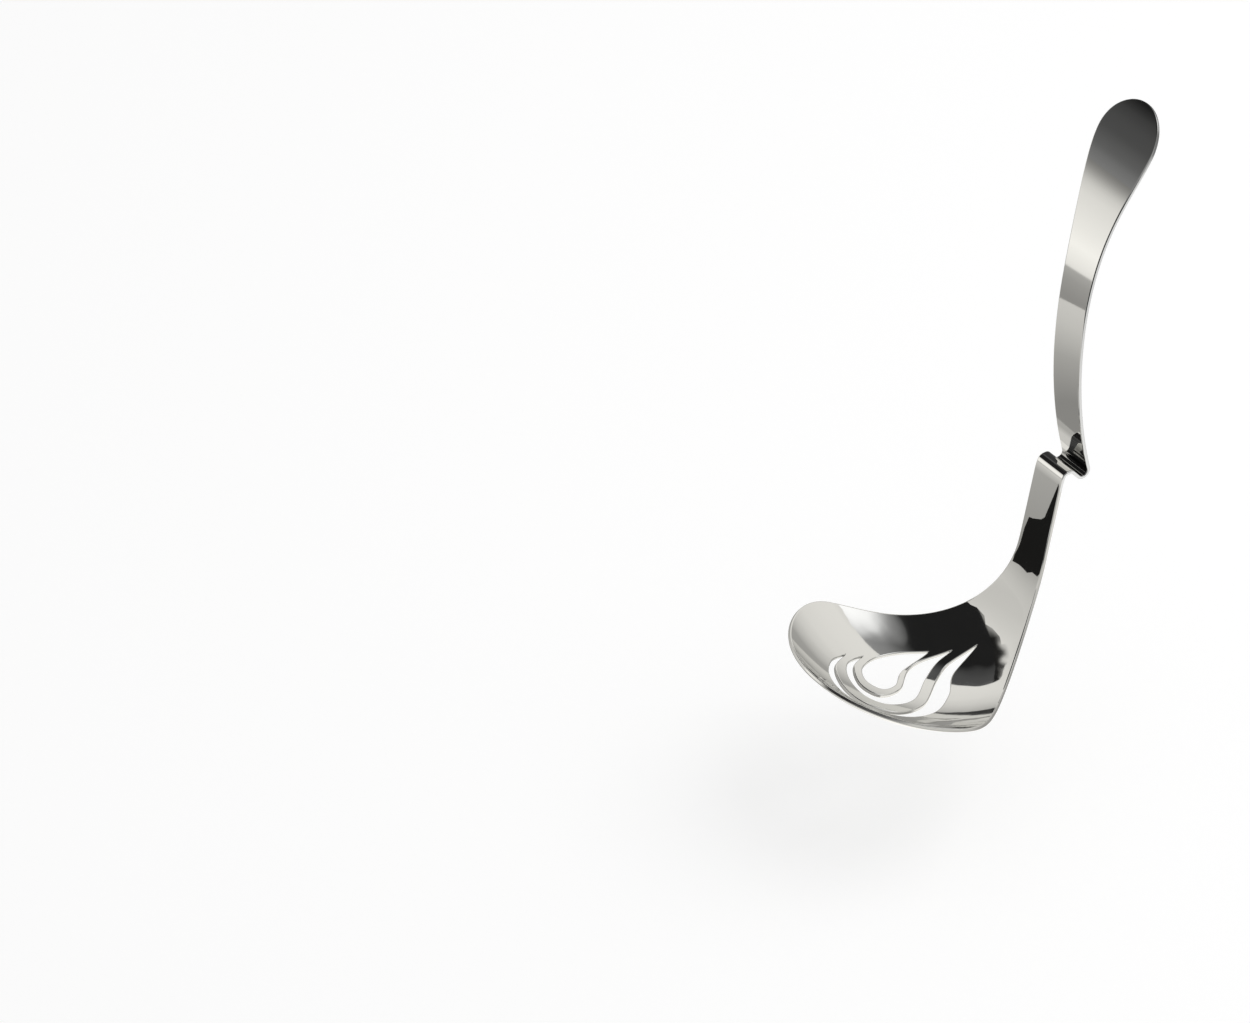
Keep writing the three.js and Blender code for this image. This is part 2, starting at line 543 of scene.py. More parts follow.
        def round_end(length: float, width: float) -> np.ndarray:
            """Distances from a round end's point to its widest line, at even angles."""
            count = math.ceil(math.pi / 4 * (length + width / 2) / step)
            return length * (1 - np.cos(np.linspace(0, math.pi / 2, count + 1)))

        paddle = round_end(self.paddle_round, self.paddle_width)
        scoop = self.tip - round_end(self.scoop_round, self.scoop_width)[::-1]
        count = math.ceil((scoop[0] - paddle[-1]) / step)
        s = np.concatenate([paddle[:-1], np.linspace(paddle[-1], scoop[0], count + 1), scoop[1:]])
        near = np.column_stack([self.half_width(s), s])
        far = near[-2:0:-1] * (-1, 1)
        return np.concatenate([near, far])

    def rows(self, start: float, end: float, step: float, turn: float) -> list[float]:
        """Choose where the blank is lined before it is pressed.

        Args:
            start: distance of the first row allowed.
            end: distance of the last row allowed.
            step: longest distance between rows.
            turn: largest turn between rows, in degrees.

        Returns:
            Distances along the sheet.
        """
        found = []
        for p in self.stretches:
            count = math.ceil(max(p.length / step, math.degrees(abs(p.curvature)) * p.length / turn))
            found += [p.start + p.length * i / count for i in range(count)]
        return [s for s in found if start < s < end]


@dataclass(frozen=True)
class DrainSlots:
    """The three nested drain slots, in millimetres across the flat sheet and from its widest line to the tip.

    A slot is a list of smooth edges that meet in its points.
    """

    drop: tuple = (
        ((-10.9, -28.2), (-16.2, -20), (-18.3, -10.5), (-15.8, -2.4), (-9.8, 0.7), (-4.1, -2), (-4.3, -8.2),
         (-9.3, -15), (-10.9, -28.2)),
    )
    middle: tuple = (
        ((-20.5, -6), (-17, 1), (-8, 4.8), (-0.8, 1.5), (-1.4, -8), (-8, -16.5), (-9.2, -24), (-5.6, -34.4)),
        ((-5.6, -34.4), (-5.3, -27), (-1.5, -19), (6, -8), (5.5, 3), (-1, 8.3), (-12, 7.2), (-19, 2),
         (-20.5, -6)),
    )
    outer: tuple = (
        ((-22.7, 0.7), (-17.5, 9.6), (-6, 14.5), (5, 13.4), (12, 5), (10.8, -8.5), (2, -21.2), (-1.9, -30),
         (0, -41.7)),
        ((0, -41.7), (3, -27.8), (11, -19.6), (17.5, -8), (16.8, 5), (9, 15.6), (-2, 19.3), (-13, 16.3),
         (-20.5, 8.8), (-22.7, 0.7)),
    )

    @staticmethod
    def edge(points: tuple, steps: int) -> np.ndarray:
        """Draw a smooth edge through points.

        Args:
            points: places that the edge passes through.
            steps: short lines between two places.

        Returns:
            Places along the edge, without its last.
        """
        p = np.array(points, float)
        before = np.concatenate([p[:1], p[:-2]])
        after = np.concatenate([p[2:], p[-1:]])
        drawn = []
        for t in np.arange(steps) / steps:
            lean0 = (p[1:] - before) / 2
            lean1 = (after - p[:-1]) / 2
            drawn.append(
                (2 * t**3 - 3 * t**2 + 1) * p[:-1] + (t**3 - 2 * t**2 + t) * lean0
                + (3 * t**2 - 2 * t**3) * p[1:] + (t**3 - t**2) * lean1
            )
        return np.stack(drawn, axis=1).reshape(-1, 2)

    def outlines(self, widest: float, steps: int) -> list[np.ndarray]:
        """Draw every slot on the blank.

        Args:
            widest: distance of the scoop's widest line along the sheet.
            steps: short lines between two drawn points.

        Returns:
            Places x and s round each slot, anticlockwise.
        """
        found = []
        for slot in (self.drop, self.middle, self.outer):
            loop = np.concatenate([self.edge(points, steps) for points in slot])
            following = np.roll(loop, -1, axis=0)
            area = np.sum(loop[:, 0] * following[:, 1] - following[:, 0] * loop[:, 1])
            found.append((loop if area > 0 else loop[::-1]) + (0, widest))
        return found


@dataclass
class Blank:
    """A flat blank: cut outline, punched slots and eased rims, half the sheet thick and then doubled.

    Attributes:
        form: the sheet's sizes.
        rim_in: how far an eased rim reaches over the face.
        rim_down: how far it reaches down the cut wall.
        rim_steps: facets across an eased rim.
    """

    form: SheetForm
    rim_in: float = 0.5
    rim_down: float = 0.35
    rim_steps: int = 3

    CLOSE = 1e-3
    CUT_CLOSE = 1e-4
    MATCH_DIGITS = 5
    SHARP_TURN = 0.75

    @staticmethod
    def select(obj: bpy.types.Object, edges: np.ndarray) -> None:
        """Select only some edges of a mesh, in object mode.

        Args:
            obj: the mesh object.
            edges: True for each edge to select.
        """
        mesh = obj.data
        bpy.context.tool_settings.mesh_select_mode = (False, True, False)
        vertices = np.zeros(len(mesh.vertices), bool)
        vertices[read(mesh.edges, "vertices", 2)[edges]] = True
        mesh.polygons.foreach_set("select", np.zeros(len(mesh.polygons), bool))
        mesh.edges.foreach_set("select", edges)
        mesh.vertices.foreach_set("select", vertices)

    @staticmethod
    def places(obj: bpy.types.Object) -> np.ndarray:
        """The mesh's vertices as rows."""
        return read(obj.data.vertices, "co", 3, np.float32).astype(float)

    @staticmethod
    def move(obj: bpy.types.Object, places: np.ndarray) -> None:
        """Put the mesh's vertices in new places."""
        obj.data.vertices.foreach_set("co", places.astype(np.float32).ravel())
        obj.data.update()

    @staticmethod
    def apply(obj: bpy.types.Object, modifier: bpy.types.Modifier) -> None:
        """Make a modifier's result the mesh itself."""
        bpy.context.view_layer.objects.active = obj
        bpy.ops.object.modifier_apply(modifier=modifier.name)

    def inset(self, loop: np.ndarray, depth: float, hole: bool) -> np.ndarray:
        """Move an outline into the metal.

        Args:
            loop: places round the outline, anticlockwise.
            depth: how far.
            hole: whether the metal is outside the outline.

        Returns:
            The moved places.
        """
        ahead = np.roll(loop, -1, axis=0) - loop
        ahead /= np.linalg.norm(ahead, axis=1)[:, None]
        sides = np.column_stack([-ahead[:, 1], ahead[:, 0]])
        both = sides + np.roll(sides, 1, axis=0)
        both /= np.linalg.norm(both, axis=1)[:, None]
        return loop + both * (-depth if hole else depth)

    def cut(self, name: str, loops: list[np.ndarray]) -> bpy.types.Object:
        """Cut the upper half of a blank and ease its rims.

        Args:
            name: the object's name.
            loops: the outline, and then any slots.

        Returns:
            The upper half, open at the sheet's middle.
        """
        obj = add_primitive(
            bpy.ops.mesh.primitive_circle_add, name, vertices=len(loops[0]), radius=self.form.scoop_width)
        with edit_mode():
            for loop in loops[1:]:
                bpy.ops.mesh.primitive_circle_add(vertices=len(loop), radius=self.form.strip_width)
        top = self.form.sheet / 2
        angles = np.linspace(0, math.pi / 2, self.rim_steps + 1)
        rings = [(self.rim_in * (1 - math.sin(a)), top - self.rim_down * (1 - math.cos(a))) for a in angles]
        rings.append((0.0, 0.0))

        def ring(depth: float, height: float) -> np.ndarray:
            """Places round all the outlines at one depth into the metal."""
            flat = np.concatenate([self.inset(loop, depth, i > 0) for i, loop in enumerate(loops)])
            return np.column_stack([flat, np.full(len(flat), height)])

        self.move(obj, ring(*rings[0]))
        count = len(obj.data.vertices)
        with edit_mode():
            bpy.ops.mesh.select_all(action="SELECT")
            bpy.ops.mesh.fill(use_beauty=True)
        placed = self.places(obj)
        rim = np.arange(count)
        for depth, height in rings[1:]:
            self.select_rim(obj, rim)
            with edit_mode():
                bpy.ops.mesh.extrude_edges_move()
            fresh = self.places(obj)
            new = np.arange(len(placed), len(fresh))
            nearest = self.match(fresh[new], placed[rim])
            fresh[new] = ring(depth, height)[nearest]
            self.move(obj, fresh)
            order = np.empty(count, int)
            order[nearest] = new
            rim, placed = order, self.places(obj)
        return obj

    def match(self, fresh: np.ndarray, known: np.ndarray) -> np.ndarray:
        """Find which known place each fresh one was copied from.

        Args:
            fresh: places of the copies.
            known: places that they were copied from.

        Returns:
            The number of the known place for each copy.
        """
        keys = {tuple(place): i for i, place in enumerate(np.round(known, self.MATCH_DIGITS))}
        return np.array([keys[tuple(place)] for place in np.round(fresh, self.MATCH_DIGITS)])

    def select_rim(self, obj: bpy.types.Object, rim: np.ndarray) -> None:
        """Select the edges that run along a rim.

        Args:
            obj: the blank.
            rim: numbers of the rim's vertices.
        """
        mesh = obj.data
        on_rim = np.zeros(len(mesh.vertices), bool)
        on_rim[rim] = True
        faces = np.bincount(read(mesh.loops, "edge_index"), minlength=len(mesh.edges))
        self.select(obj, on_rim[read(mesh.edges, "vertices", 2)].all(axis=1) & (faces < 2))

    def bisect(self, cuts: list[tuple[tuple, tuple]], drop_beyond: bool) -> None:
        """Cut the whole active mesh along planes.

        Args:
            cuts: a place on each plane, and the plane's direction.
            drop_beyond: whether what lies beyond each plane goes.
        """
        with edit_mode():
            for place, direction in cuts:
                bpy.ops.mesh.select_all(action="SELECT")
                bpy.ops.mesh.bisect(
                    plane_co=place, plane_no=direction, clear_outer=drop_beyond, threshold=self.CUT_CLOSE)

    def line(self, obj: bpy.types.Object, rows: list[float], columns: list[float]) -> None:
        """Line the blank along and across, and take out the helper lines that filled its face.

        Args:
            obj: the upper half of the blank.
            rows: distances along the sheet.
            columns: distances across the sheet.
        """
        cuts = [((0, s, 0), (0, 1, 0)) for s in rows] + [((x, 0, 0), (1, 0, 0)) for x in columns]
        self.bisect(cuts, drop_beyond=False)
        mesh = obj.data
        places = self.places(obj)
        a, b = places[read(mesh.edges, "vertices", 2)].transpose(1, 0, 2)
        face_height = self.form.sheet / 2 - self.CLOSE
        flat = np.minimum(a[:, 2], b[:, 2]) > face_height
        ruled = (np.abs(a[:, :2] - b[:, :2]) < self.CLOSE).any(axis=1)
        corners, sizes, firsts = self.corners(obj)
        on_rim = np.minimum.reduceat(places[corners, 2], firsts) < face_height
        rim_edges = read(mesh.loops, "edge_index")[np.repeat(on_rim, sizes)]
        rim_faces = np.bincount(rim_edges, minlength=len(mesh.edges))
        self.select(obj, flat & ~ruled & (rim_faces == 0))
        with edit_mode():
            bpy.ops.mesh.dissolve_edges(use_verts=True)

    def trim(self, ends: list[tuple[float, int]]) -> None:
        """Cut the active half blank to length; with 1 an end drops what lies beyond it, with -1 before it."""
        self.bisect([((0, s, 0), (0, side, 0)) for s, side in ends], drop_beyond=True)

    def double(self, obj: bpy.types.Object, ends: list[tuple[float, int]]) -> None:
        """Mirror the half blank to its full thickness and close its cut ends.

        Args:
            obj: the upper half of the blank.
            ends: distances that it was cut at.
        """
        mirror = obj.modifiers.new("lower_half", "MIRROR")
        mirror.use_axis = (False, False, True)
        mirror.merge_threshold = self.CLOSE
        self.apply(obj, mirror)
        for s, _ in ends:
            self.select_rim(obj, np.flatnonzero(np.abs(self.places(obj)[:, 1] - s) < self.CLOSE))
            with edit_mode():
                bpy.ops.mesh.edge_face_add()
        with edit_mode():
            bpy.ops.mesh.select_all(action="SELECT")
            bpy.ops.mesh.normals_make_consistent(inside=False)

    @staticmethod
    def corners(obj: bpy.types.Object) -> tuple[np.ndarray, np.ndarray, np.ndarray]:
        """List the corners of a mesh's faces.

        Args:
            obj: the mesh object.

        Returns:
            The vertex at each corner, the number of corners of each face, and each face's first corner.
        """
        sizes = read(obj.data.polygons, "loop_total")
        return read(obj.data.loops, "vertex_index"), sizes, np.concatenate([[0], np.cumsum(sizes)[:-1]])

    def refine(self, obj: bpy.types.Object, levels: int) -> None:
        """Split every face of the flat blank evenly, so that the pressed faces stay smooth.

        Args:
            obj: the upper half of the blank.
            levels: how often each face is split in four.
        """
        finer = obj.modifiers.new("finer", "SUBSURF")
        finer.subdivision_type, finer.levels = "SIMPLE", levels
        self.apply(obj, finer)

    def walls(self, loops: list[np.ndarray]) -> tuple[np.ndarray, np.ndarray, np.ndarray]:
        """Work out which way the cut wall faces along every outline.

        Args:
            loops: the outline, and then any slots.

        Returns:
            For each short line, its two ends, and the wall's direction at both, kept apart at sharp points.
        """
        lines, facing = [], []
        for i, loop in enumerate(loops):
            following = np.roll(loop, -1, axis=0)
            ahead = following - loop
            side = np.column_stack([ahead[:, 1], -ahead[:, 0]]) * (-1 if i else 1)
            side /= np.linalg.norm(side, axis=1)[:, None]
            before, after = np.roll(side, 1, axis=0), np.roll(side, -1, axis=0)
            blunt_start = np.sum(before * side, axis=1) > self.SHARP_TURN
            blunt_end = np.sum(after * side, axis=1) > self.SHARP_TURN
            lines.append(np.stack([loop, following], axis=1))
            at_start, at_end = side + before * blunt_start[:, None], side + after * blunt_end[:, None]
            facing.append(np.stack([at_start, at_end], axis=1))
        ends, sides = np.concatenate(lines), np.concatenate(facing)
        return ends[:, 0], ends[:, 1], sides / np.linalg.norm(sides, axis=2)[:, :, None]

    def corner_normals(self, obj: bpy.types.Object, loops: list[np.ndarray], cuts: list[float]) -> np.ndarray:
        """Find the flat blank's normals at each face corner, even on the faces and smooth round the rims.

        Args:
            obj: the finished flat blank.
            loops: the outlines that it was cut along.
            cuts: distances at which it was cut to length.

        Returns:
            One normal for each face corner.
        """
        places = self.places(obj)
        corners, sizes, firsts = self.corners(obj)
        at = places[corners]
        drop = self.form.sheet / 2 - np.abs(at[:, 2])
        tilt = np.arccos(np.clip(1 - drop / self.rim_down, 0, 1))
        found = np.column_stack([np.zeros((len(at), 2)), np.sign(at[:, 2]) * np.cos(tilt) * self.rim_in])
        start, end, facing = self.walls(loops)
        along = end - start
        length = np.sum(along**2, axis=1)
        on_rim = np.maximum.reduceat(drop, firsts) > self.CLOSE
        middles = np.add.reduceat(at[:, :2], firsts) / sizes[:, None]
        tree = KDTree(len(start))
        for i, place in enumerate((start + end) / 2):
            tree.insert((*place, 0), i)
        tree.balance()
        nearest = np.zeros(len(sizes), int)
        nearest[on_rim] = [tree.find((*place, 0))[1] for place in middles[on_rim]]
        mine = np.repeat(on_rim, sizes)
        line = np.repeat(nearest, sizes)[mine]
        t = np.clip(np.sum((at[mine, :2] - start[line]) * along[line], axis=1) / length[line], 0, 1)[:, None]
        side = facing[line, 0] * (1 - t) + facing[line, 1] * t
        side /= np.linalg.norm(side, axis=1)[:, None]
        found[mine, :2] = side * (np.sin(tilt[mine]) * self.rim_down)[:, None]
        for cut in cuts:
            capped = np.repeat(np.maximum.reduceat(np.abs(at[:, 1] - cut), firsts) < self.CLOSE, sizes)
            found[capped] = (0, math.copysign(1, cut - places[:, 1].mean()), 0)
        return found / np.linalg.norm(found, axis=1)[:, None]


@dataclass
class LadlePiece:
    """One piece of the ladle, pressed from its own blank.

    Attributes:
        form: the sheet's sizes.
        blank: how blanks are cut.
        row_step: longest distance between rows on the pressed face.
        turn_step: largest turn between rows, in degrees.
        outline_step: distance between points of the outline.
        splits: how often each lined face is split in four.
    """

    form: SheetForm
    blank: Blank
    row_step: float = 1.5
    turn_step: float = 4.0
    outline_step: float = 1.0
    splits: int = 1

    NODE = ""
    FINISH = MIRROR_STEEL
    FACE_DOWN = (1, 1, -1)
    FLAT_MAP = "flat_sheet"
    EDGE_TILT = 0.8

    def ends(self) -> list[tuple[float, int]]:
        """Where the piece is cut from the whole sheet, and which side goes."""
        raise NotImplementedError

    def slots(self) -> list[np.ndarray]:
        """Outlines punched out of the piece."""
        return []

    def columns(self) -> list[float]:
        """Distances across the sheet at which the blank is lined."""
        return []

    def build(self) -> bpy.types.Object:
        """Cut, line, double and press the piece's blank.

        Returns:
            The finished mesh object, in metres in the ladle's frame.
        """
        low = max([s for s, side in self.ends() if side < 0], default=0.0)
        high = min([s for s, side in self.ends() if side > 0], default=self.form.tip)
        loops = [self.form.outline(self.outline_step), *self.slots()]
        obj = self.blank.cut(self.NODE + "_steel", loops)
        self.blank.trim(self.ends())
        self.blank.line(obj, self.form.rows(low, high, self.row_step, self.turn_step), self.columns())
        self.blank.refine(obj, self.splits)
        self.blank.double(obj, self.ends())
        # the blank lies face down, so that its faces still point outwards once it is pressed
        flat = self.blank.places(obj) * self.FACE_DOWN
        normals = self.blank.corner_normals(obj, loops, [s for s, _ in self.ends()]) * self.FACE_DOWN
        mesh = obj.data
        corners, _, _ = self.blank.corners(obj)
        sheet_map = mesh.uv_layers.new(name=self.FLAT_MAP)
        sheet_map.data.foreach_set("uv", (flat[corners, :2] * MM).astype(np.float32).ravel())
        on_edge = np.array([abs(face.normal.z) < self.EDGE_TILT for face in mesh.polygons])
        self.blank.move(obj, self.form.press(flat) * MM)
        bpy.ops.object.select_all(action="DESELECT")
        obj.select_set(True)
        bpy.ops.object.shade_smooth()
        mesh.normals_split_custom_set(self.form.press_normals(flat[corners], normals).tolist())
        self.dress(obj, on_edge)
        return obj

    def dress(self, obj: bpy.types.Object, on_edge: np.ndarray) -> None:
        """Give the faces and the cut edge their finishes, and hang the piece on the frame.

        Args:
            obj: the pressed piece.
            on_edge: True for each face that belongs to the cut edge.
        """
        obj.data.materials.append(self.FINISH.material())
        obj.data.materials.append(EDGE_STEEL.material())
        obj.data.polygons.foreach_set("material_index", on_edge.astype(np.int32))
        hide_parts(self.NODE)
        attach(obj, "root")


@dataclass
class Handle(LadlePiece):
    """Paddle-ended grip, foot bend, riser, ridge and upper stem, one bent strip."""

    NODE = "handle"

    def ends(self) -> list[tuple[float, int]]:
        """Cut off at the weld."""
        return [(self.form.weld_start, 1)]


@dataclass
class NeckWeld(LadlePiece):
    """Butt weld across the stem, ground and polished flush."""

    NODE = "neck_weld"

    def ends(self) -> list[tuple[float, int]]:
        """Between the handle and the scoop."""
        return [(self.form.weld_start, -1), (self.form.weld_end, 1)]


@dataclass
class SlottedScoop(LadlePiece):
    """Lower stem, neck and drop-shaped scoop with its drain slots, one pressing."""

    drain: DrainSlots = field(default_factory=DrainSlots)
    column_step: float = 1.5
    slot_steps: int = 8

    NODE = "slotted_scoop"
    FINISH = PRESSED_STEEL

    def ends(self) -> list[tuple[float, int]]:
        """Starts at the weld."""
        return [(self.form.weld_end, -1)]

    def slots(self) -> list[np.ndarray]:
        """The three drain slots."""
        return self.drain.outlines(self.form.widest, self.slot_steps)

    def columns(self) -> list[float]:
        """Even columns across the scoop."""
        half = int(self.form.scoop_width / 2 / self.column_step)
        return [i * self.column_step for i in range(-half, half + 1)]


def even(level: float) -> tuple:
    """Stops of one grey at every height."""
    return ((-1.0, level), (1.0, level))


@dataclass(frozen=True)
class CardShade:
    """Painted light and shade of a glowing card by height, which may change along the card.

    Attributes:
        name: the material's name.
        stops: pairs of height and grey level, in rising order of height.
        other_stops: the same at the card's other place; none for the same grey all along.
        axis: the way that leads from one place to the other.
        both_ways: whether that way counts the same to both sides.
        first: where the first grey ends along it.
        other: where the other grey starts.
        wander: how far the other grey wanders up and down.
    """

    name: str
    stops: tuple
    other_stops: tuple = ()
    axis: Axis = Axis.ACROSS
    both_ways: bool = False
    first: float = 0.0
    other: float = 1.0
    wander: float = 0.0

    WANDER_SIZE = 0.032
    CARD_WHITE = linear("#fffdf8")

    @property
    def low(self) -> float:
        """Height of the lowest stop."""
        return self.stops[0][0]

    @property
    def high(self) -> float:
        """Height of the highest stop."""
        return self.stops[-1][0]

    def material(self) -> bpy.types.Material:
        """Build the painted light and shade as a glowing material.

        Returns:
            The card's material.
        """
        made = bpy.data.materials.new(self.name)
        tree = clear_tree(made)
        place = add_node(tree, "ShaderNodeTexCoord")
        parts = add_node(tree, "ShaderNodeSeparateXYZ", {"Vector": place.outputs["Object"]})
        along = parts.outputs[self.axis.value]
        if self.both_ways:
            along = add_node(tree, "ShaderNodeMath", {0: along}, operation="ABSOLUTE")
        share = add_node(tree, "ShaderNodeMapRange", {
            "Value": along, "From Min": self.first, "From Max": self.other})
        noise = add_node(tree, "ShaderNodeTexNoise", {
            "Vector": place.outputs["Object"], "Scale": 1 / self.WANDER_SIZE, "Detail": 0.0})
        stray = add_node(tree, "ShaderNodeMapRange", {
            "Value": noise, "From Min": NOISE_LOW, "From Max": NOISE_HIGH,
            "To Min": -self.wander, "To Max": self.wander})
        shift = add_node(tree, "ShaderNodeMath", {0: stray, 1: share}, operation="MULTIPLY")
        height = add_node(tree, "ShaderNodeMath", {0: parts.outputs["Z"], 1: shift}, operation="ADD")
        level = add_node(tree, "ShaderNodeMapRange", {
            "Value": height, "From Min": self.low, "From Max": self.high})
        ramps = [
            add_node(tree, "ShaderNodeValToRGB", {"Fac": level}, stops=[
                ((z - self.low) / (self.high - self.low), grey) for z, grey in stops])
            for stops in (self.stops, self.other_stops or self.stops)
        ]
        mixed = add_node(tree, "ShaderNodeMix", {
            "Factor": share, "A": ramps[0], "B": ramps[1]}, data_type="RGBA")
        warm = add_node(tree, "ShaderNodeMix", {
            "Factor": 1.0, "A": mixed.outputs[2], "B": self.CARD_WHITE}, data_type="RGBA",
            blend_type="MULTIPLY")
        light = add_node(tree, "ShaderNodeEmission", {"Color": warm.outputs[2], "Strength": 1.0})
        add_node(tree, "ShaderNodeOutputMaterial", {"Surface": light})
        return made


@dataclass(frozen=True)
class SkyPatch:
    """A round patch of the studio's sky.

    Attributes:
        azimuth: direction of its middle; 0 is -Y and 90 is +X.
        elevation: height of its middle over the horizon.
        stops: pairs of degrees from its middle and grey level.
        blend: how it joins the patches before it.
    """

    azimuth: float
    elevation: float
    stops: tuple
    blend: SkyBlend = SkyBlend.SHADES

    def shares(self) -> list[tuple[float, float]]:
        """The stops as shares of half a turn."""
        return [(degrees / 180, level) for degrees, level in self.stops]


@dataclass
class Stage:
    """Floor, soft light, glowing cards of painted light and shade that only the metal shows, and the camera.

    Sizes are in metres and degrees. Names that end in MM are in millimetres, as on the blanks.
    """

    form: SheetForm
    floor_drop: float = 0.108
    floor_radius: float = 6.0
    floor_sides: int = 96
    floor_albedo: float = 0.62
    floor_glow: float = 0.47
    unlit_glow: float = 0.04
    unlit_turn: float = -8.0
    unlit_near: float = 0.10
    unlit_far: float = 0.32
    dim_near: float = 0.09
    dim_far: float = 0.36
    dim_most: float = 0.8
    tall_azimuth: float = -40.0
    tall_distance: float = 0.215
    tall_right: float = 0.110
    tall_left: float = -0.300
    round_sides: int = 128
    foot_overlap: float = 1.03
    fill_level: float = 0.68
    sky_scale: float = 4.0
    sky_stray: float = 0.16
    key_azimuth: float = 160.0
    key_elevation: float = 55.0
    key_distance: float = 1.3
    key_size: float = 1.1
    key_level: float = 1.25
    lens: float = 250.0
    sensor: float = 36.0
    clip_start: float = 0.1
    clip_end: float = 50.0
    view_azimuth: float = 53.6
    view_elevation: float = 37.0
    picture_width: float = 1250.0
    picture_height: float = 1023.0
    origin_pixel: tuple[float, float] = (1056.6, 465.04)
    pixels_per_mm: float = 2.944

    # the upright card glows with painted light and shade: grey below, brightest a little above the seat, and
    # fading out at its top
    TALL_SHADE = CardShade(
        "tall_card_painted_glow",
        stops=(
            (-0.108, 0.32), (-0.037, 0.34), (-0.030, 0.345), (-0.010, 0.41), (0.003, 0.50), (0.005, 0.98),
            (0.012, 1.06), (0.031, 1.19), (0.050, 1.08), (0.069, 1.00), (0.088, 0.92), (0.098, 0.80),
            (0.103, 0.69), (0.107, 0.57), (0.111, 0.45), (0.115, 0.35), (0.119, 0.28), (0.122, 0.24)),
        other_stops=(
            (-0.108, 0.32), (-0.013, 0.45), (0.005, 0.72), (0.031, 0.76), (0.060, 0.82), (0.078, 0.84),
            (0.086, 0.62), (0.093, 0.30), (0.100, 0.08), (0.110, 0.020), (0.122, 0.013)),
        both_ways=True, first=0.025, other=0.060, wander=0.008)
    TALL_MIDDLE = Vector((0.0, -0.010, 0.0))
    # the low round card glows with painted light and shade: paler towards its top, and palest behind
    ROUND_SHADE = CardShade(
        "round_card_painted_glow",
        stops=(
            (-0.100, 0.31), (-0.076, 0.40), (-0.057, 0.47), (-0.043, 0.57), (-0.025, 0.68), (-0.010, 0.73),
            (0.020, 0.80)),
        other_stops=(
            (-0.100, 0.31), (-0.076, 0.38), (-0.057, 0.43), (-0.050, 0.59), (-0.040, 0.76), (-0.028, 0.87),
            (-0.010, 0.92), (0.009, 0.94), (0.020, 0.84)),
        axis=Axis.DEEP, first=0.0, other=0.050)
    ROUND_MIDDLE = (-0.020, -0.072)
    ROUND_SIZE = (0.095, 0.076)
    # its top edge by the angle round it, 0 being +Y
    ROUND_TOP = (
        (-180, -0.003), (-92, -0.003), (-82, 0.006), (-72, 0.007), (-66, 0.002), (-57, -0.008), (-50, -0.009),
        (-44, -0.007), (-38, 0.002), (-31, 0.007), (-22, 0.011), (-15, 0.014), (-10, 0.013), (-5.5, 0.019),
        (-1, 0.010), (3, -0.006), (12, -0.0117), (24, -0.008), (34, -0.0045), (50, -0.003), (180, -0.003))
    # its foot glows with painted light and shade: grey on the left, and white on the right
    FOOT_SHADE = CardShade("round_card_foot_painted_glow", even(0.31), even(1.10), first=-0.04, other=0.01)
    # the black flag, a dark card that paints a dark reflection onto the stem, by the edge of the patch that
    # it makes there: places across the sheet and along it
    FLAG_SHADE = CardShade("flag_painted_dark", even(0.012))
    FLAG_PATCH_MM = (
        (5.8, 160.5), (3.5, 174.9), (1.5, 177.2), (-2.4, 179.0), (-4.4, 179.5), (-5.4, 184.4), (-5.8, 189.8),
        (-6.8, 195.9), (-6.7, 198.5), (-3.5, 198.1), (1.2, 198.8), (3.5, 197.3), (6.3, 197.4), (8.3, 192.5),
        (8.4, 176.4))
    FLAG_REACH_MM = 7.33
    # the grey card before the neck, a glowing card of painted light that the neck shows as a patch, given in
    # the same way
    NECK_SHADE = CardShade(
        "neck_card_painted_glow", ((-0.057, 0.86), (-0.0535, 0.77), (-0.0505, 0.71), (-0.0475, 0.69), (-0.045, 0.71)))
    NECK_PATCH_MM = (
        (-11.8, 210.0), (-7.8, 206.1), (-1.6, 207.4), (5.9, 209.7), (10.6, 213.6), (12.5, 220.3),
        (8.2, 224.6), (5.2, 222.8), (0.4, 222.1), (-3.1, 222.5), (-5.7, 220.4), (-10.2, 219.8),
        (-12.7, 220.4), (-16.8, 220.1), (-15.7, 216.4))
    NECK_REACH_MM = 3.45
    # the pale card that lies behind on the left glows with painted light, which the handle's lower end shows
    LOW_SHADE = CardShade(
        "low_card_painted_glow", even(0.49), even(0.71), axis=Axis.DEEP, first=-0.037, other=-0.031)
    LOW_CORNERS_MM = ((-120.0, -46.0), (-96.0, -42.3), (-76.0, -38.0), (-70.0, 0.0), (-120.0, 0.0))
    LOW_HEIGHT_MM = -99.0
    # the studio that the metal shows: grey all round, three dark parts, and the softbox
    SKY = (
        SkyPatch(-55.0, 52.0, (
            (24, 0.012), (28, 0.058), (34, 0.080), (39, 0.088), (46, 0.14), (51, 0.24), (58, 0.32),
            (70, 0.42), (85, 0.5))),
        SkyPatch(-75.0, 70.0, ((18, 0.15), (28, 1.0))),
        SkyPatch(-138.0, 20.0, ((18, 0.15), (32, 1.0))),
        SkyPatch(105.0, 28.0, ((18, 0.1), (34, 1.0))),
        SkyPatch(154.0, 53.0, (
            (10, 1.30), (14, 1.22), (16, 1.12), (18, 0.99), (20, 0.85), (22, 0.55), (24, 0.37), (26, 0.28),
            (28, 0.22), (30, 0.16), (32, 0.11), (34, 0.03), (37, 0.018), (45, 0.016)), SkyBlend.SHINES),
    )

    @staticmethod
    def towards(azimuth: float, elevation: float) -> Vector:
        """Unit vector to a place in the sky; azimuth 0 is -Y and 90 is +X."""
        a, e = math.radians(azimuth), math.radians(elevation)
        return Vector((math.sin(a) * math.cos(e), -math.cos(a) * math.cos(e), math.sin(e)))

    def view_axes(self) -> tuple[Vector, Vector, Vector]:
        """Find the camera's own directions.

        Returns:
            Unit vectors to the right, upwards and back to the camera.
        """
        right = self.towards(self.view_azimuth + 90, 0.0)
        back = self.towards(self.view_azimuth, self.view_elevation)
        return right, back.cross(right), back

